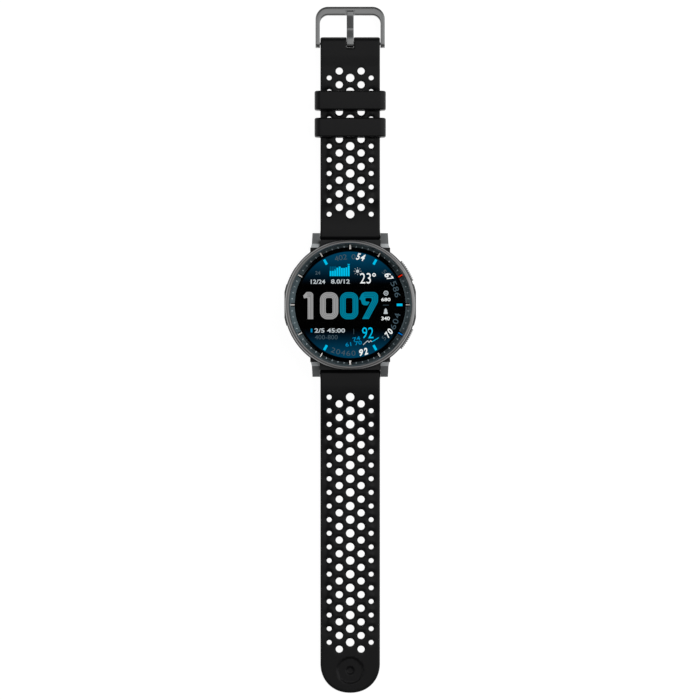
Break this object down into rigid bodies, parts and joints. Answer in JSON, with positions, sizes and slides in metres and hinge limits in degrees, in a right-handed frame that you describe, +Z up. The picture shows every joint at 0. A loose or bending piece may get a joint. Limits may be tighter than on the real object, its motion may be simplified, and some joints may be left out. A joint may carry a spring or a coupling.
{
  "type": "gps running watch",
  "caption": "Round sports watch with a lit dial, two ribbed side buttons and a perforated rubber strap on quick-release spring bars, with a pin buckle.",
  "frame": {"origin": "centre of the flat underside of the sensor window, which the watch rests on", "axes": "+Z up out of the glass, +Y along the short strap to the buckle (12 o'clock), +X to 3 o'clock"},
  "size_m": [0.0484, 0.2536, 0.0126],
  "materials": {
    "case_polymer": "fine moulded grain",
    "back_polymer": "fine moulded grain",
    "bezel_metal": "dark blasted metal",
    "lug_metal": "dark blasted metal",
    "button_metal": "dark blasted metal, ribbed face",
    "grille": "slotted",
    "cover_glass": "polished, coated",
    "chapter_ring": "satin",
    "display": "lit dial under glass",
    "sensor_window": "polished, tinted",
    "strap_rubber": "matte moulded",
    "buckle_metal": "dark satin metal",
    "bar_steel": "turned",
    "screw_steel": "turned",
    "contact_gold": "plated",
    "seal_rubber": "smooth",
    "inner_polymer": "moulded",
    "flex": "film",
    "board": "solder mask",
    "shield": "stamped",
    "battery": "foil pouch",
    "sensor_led": "cast resin",
    "photodiode": "polished"
  },
  "bodies": {
    "case": {"mid_case": "case_polymer", "bezel_ring": "bezel_metal", "cover_glass": "cover_glass", "speaker_grille": "grille", "sensor_window": "sensor_window", "case_back": "back_polymer", "lug_upper_left": "lug_metal", "lug_upper_right": "lug_metal", "lug_lower_left": "lug_metal", "lug_lower_right": "lug_metal", "bezel_gasket": "seal_rubber", "chapter_ring": "chapter_ring", "display_panel": "display", "antenna_ring": "inner_polymer", "inner_frame": "inner_polymer", "display_flex": "flex", "main_board": "board", "shield_cans": "shield", "battery": "battery", "vibration_motor": "shield", "speaker": "inner_polymer", "barometer": "shield", "microphone": "shield", "optical_sensor_board": "board", "sensor_leds": "sensor_led", "photodiodes": "photodiode", "sensor_flex": "flex", "case_back_gasket": "seal_rubber", "case_back_screws": "screw_steel", "charging_contacts": "contact_gold", "button_switch_upper": "inner_polymer", "button_switch_lower": "inner_polymer"},
    "strap_long": {"strap_long": "strap_rubber", "spring_bar_long": "bar_steel"},
    "strap_short": {"strap_short": "strap_rubber", "spring_bar_short": "bar_steel"},
    "release_long": {"release_pin_long": "bar_steel"},
    "release_short": {"release_pin_short": "bar_steel"},
    "keeper_upper": {"keeper_upper": "strap_rubber"},
    "keeper_lower": {"keeper_lower": "strap_rubber"},
    "buckle": {"buckle_frame": "buckle_metal", "buckle_bar": "bar_steel"},
    "tongue": {"buckle_tongue": "buckle_metal"},
    "button_upper": {"button_upper": "button_metal", "button_seal_upper": "seal_rubber", "button_clip_upper": "bar_steel"},
    "button_lower": {"button_lower": "button_metal", "button_seal_lower": "seal_rubber", "button_clip_lower": "bar_steel"}
  },
  "joints": [
    {"name": "strap_long_hinge", "type": "hinge", "parent": "case", "child": "strap_long", "pos_m": [0, -0.025, 0.0042], "axis": [-1, 0, 0], "range_deg": [-85, 30]},
    {"name": "strap_short_hinge", "type": "hinge", "parent": "case", "child": "strap_short", "pos_m": [0, 0.025, 0.0042], "axis": [1, 0, 0], "range_deg": [-85, 30]},
    {"name": "release_long_slide", "type": "slide", "parent": "strap_long", "child": "release_long", "axis": [1, 0, 0], "range_m": [0, 0.0014], "stiffness_N_per_m": 300},
    {"name": "release_short_slide", "type": "slide", "parent": "strap_short", "child": "release_short", "axis": [-1, 0, 0], "range_m": [0, 0.0014], "stiffness_N_per_m": 300},
    {"name": "keeper_upper_slide", "type": "slide", "parent": "strap_short", "child": "keeper_upper", "axis": [0, 1, 0], "range_m": [-0.0012, 0.0085]},
    {"name": "keeper_lower_slide", "type": "slide", "parent": "strap_short", "child": "keeper_lower", "axis": [0, 1, 0], "range_m": [-0.013, 0.0012]},
    {"name": "buckle_hinge", "type": "hinge", "parent": "strap_short", "child": "buckle", "pos_m": [0, 0.0965, 0.0027], "axis": [1, 0, 0], "range_deg": [-90, 35]},
    {"name": "tongue_hinge", "type": "hinge", "parent": "buckle", "child": "tongue", "pos_m": [0, 0.0965, 0.0027], "axis": [1, 0, 0], "range_deg": [0, 60]},
    {"name": "button_upper_press", "type": "slide", "parent": "case", "child": "button_upper", "axis": [-0.8572, -0.515, 0], "range_m": [0, 0.0005], "stiffness_N_per_m": 2000},
    {"name": "button_lower_press", "type": "slide", "parent": "case", "child": "button_lower", "axis": [-0.8572, 0.515, 0], "range_m": [0, 0.0005], "stiffness_N_per_m": 2000}
  ]
}
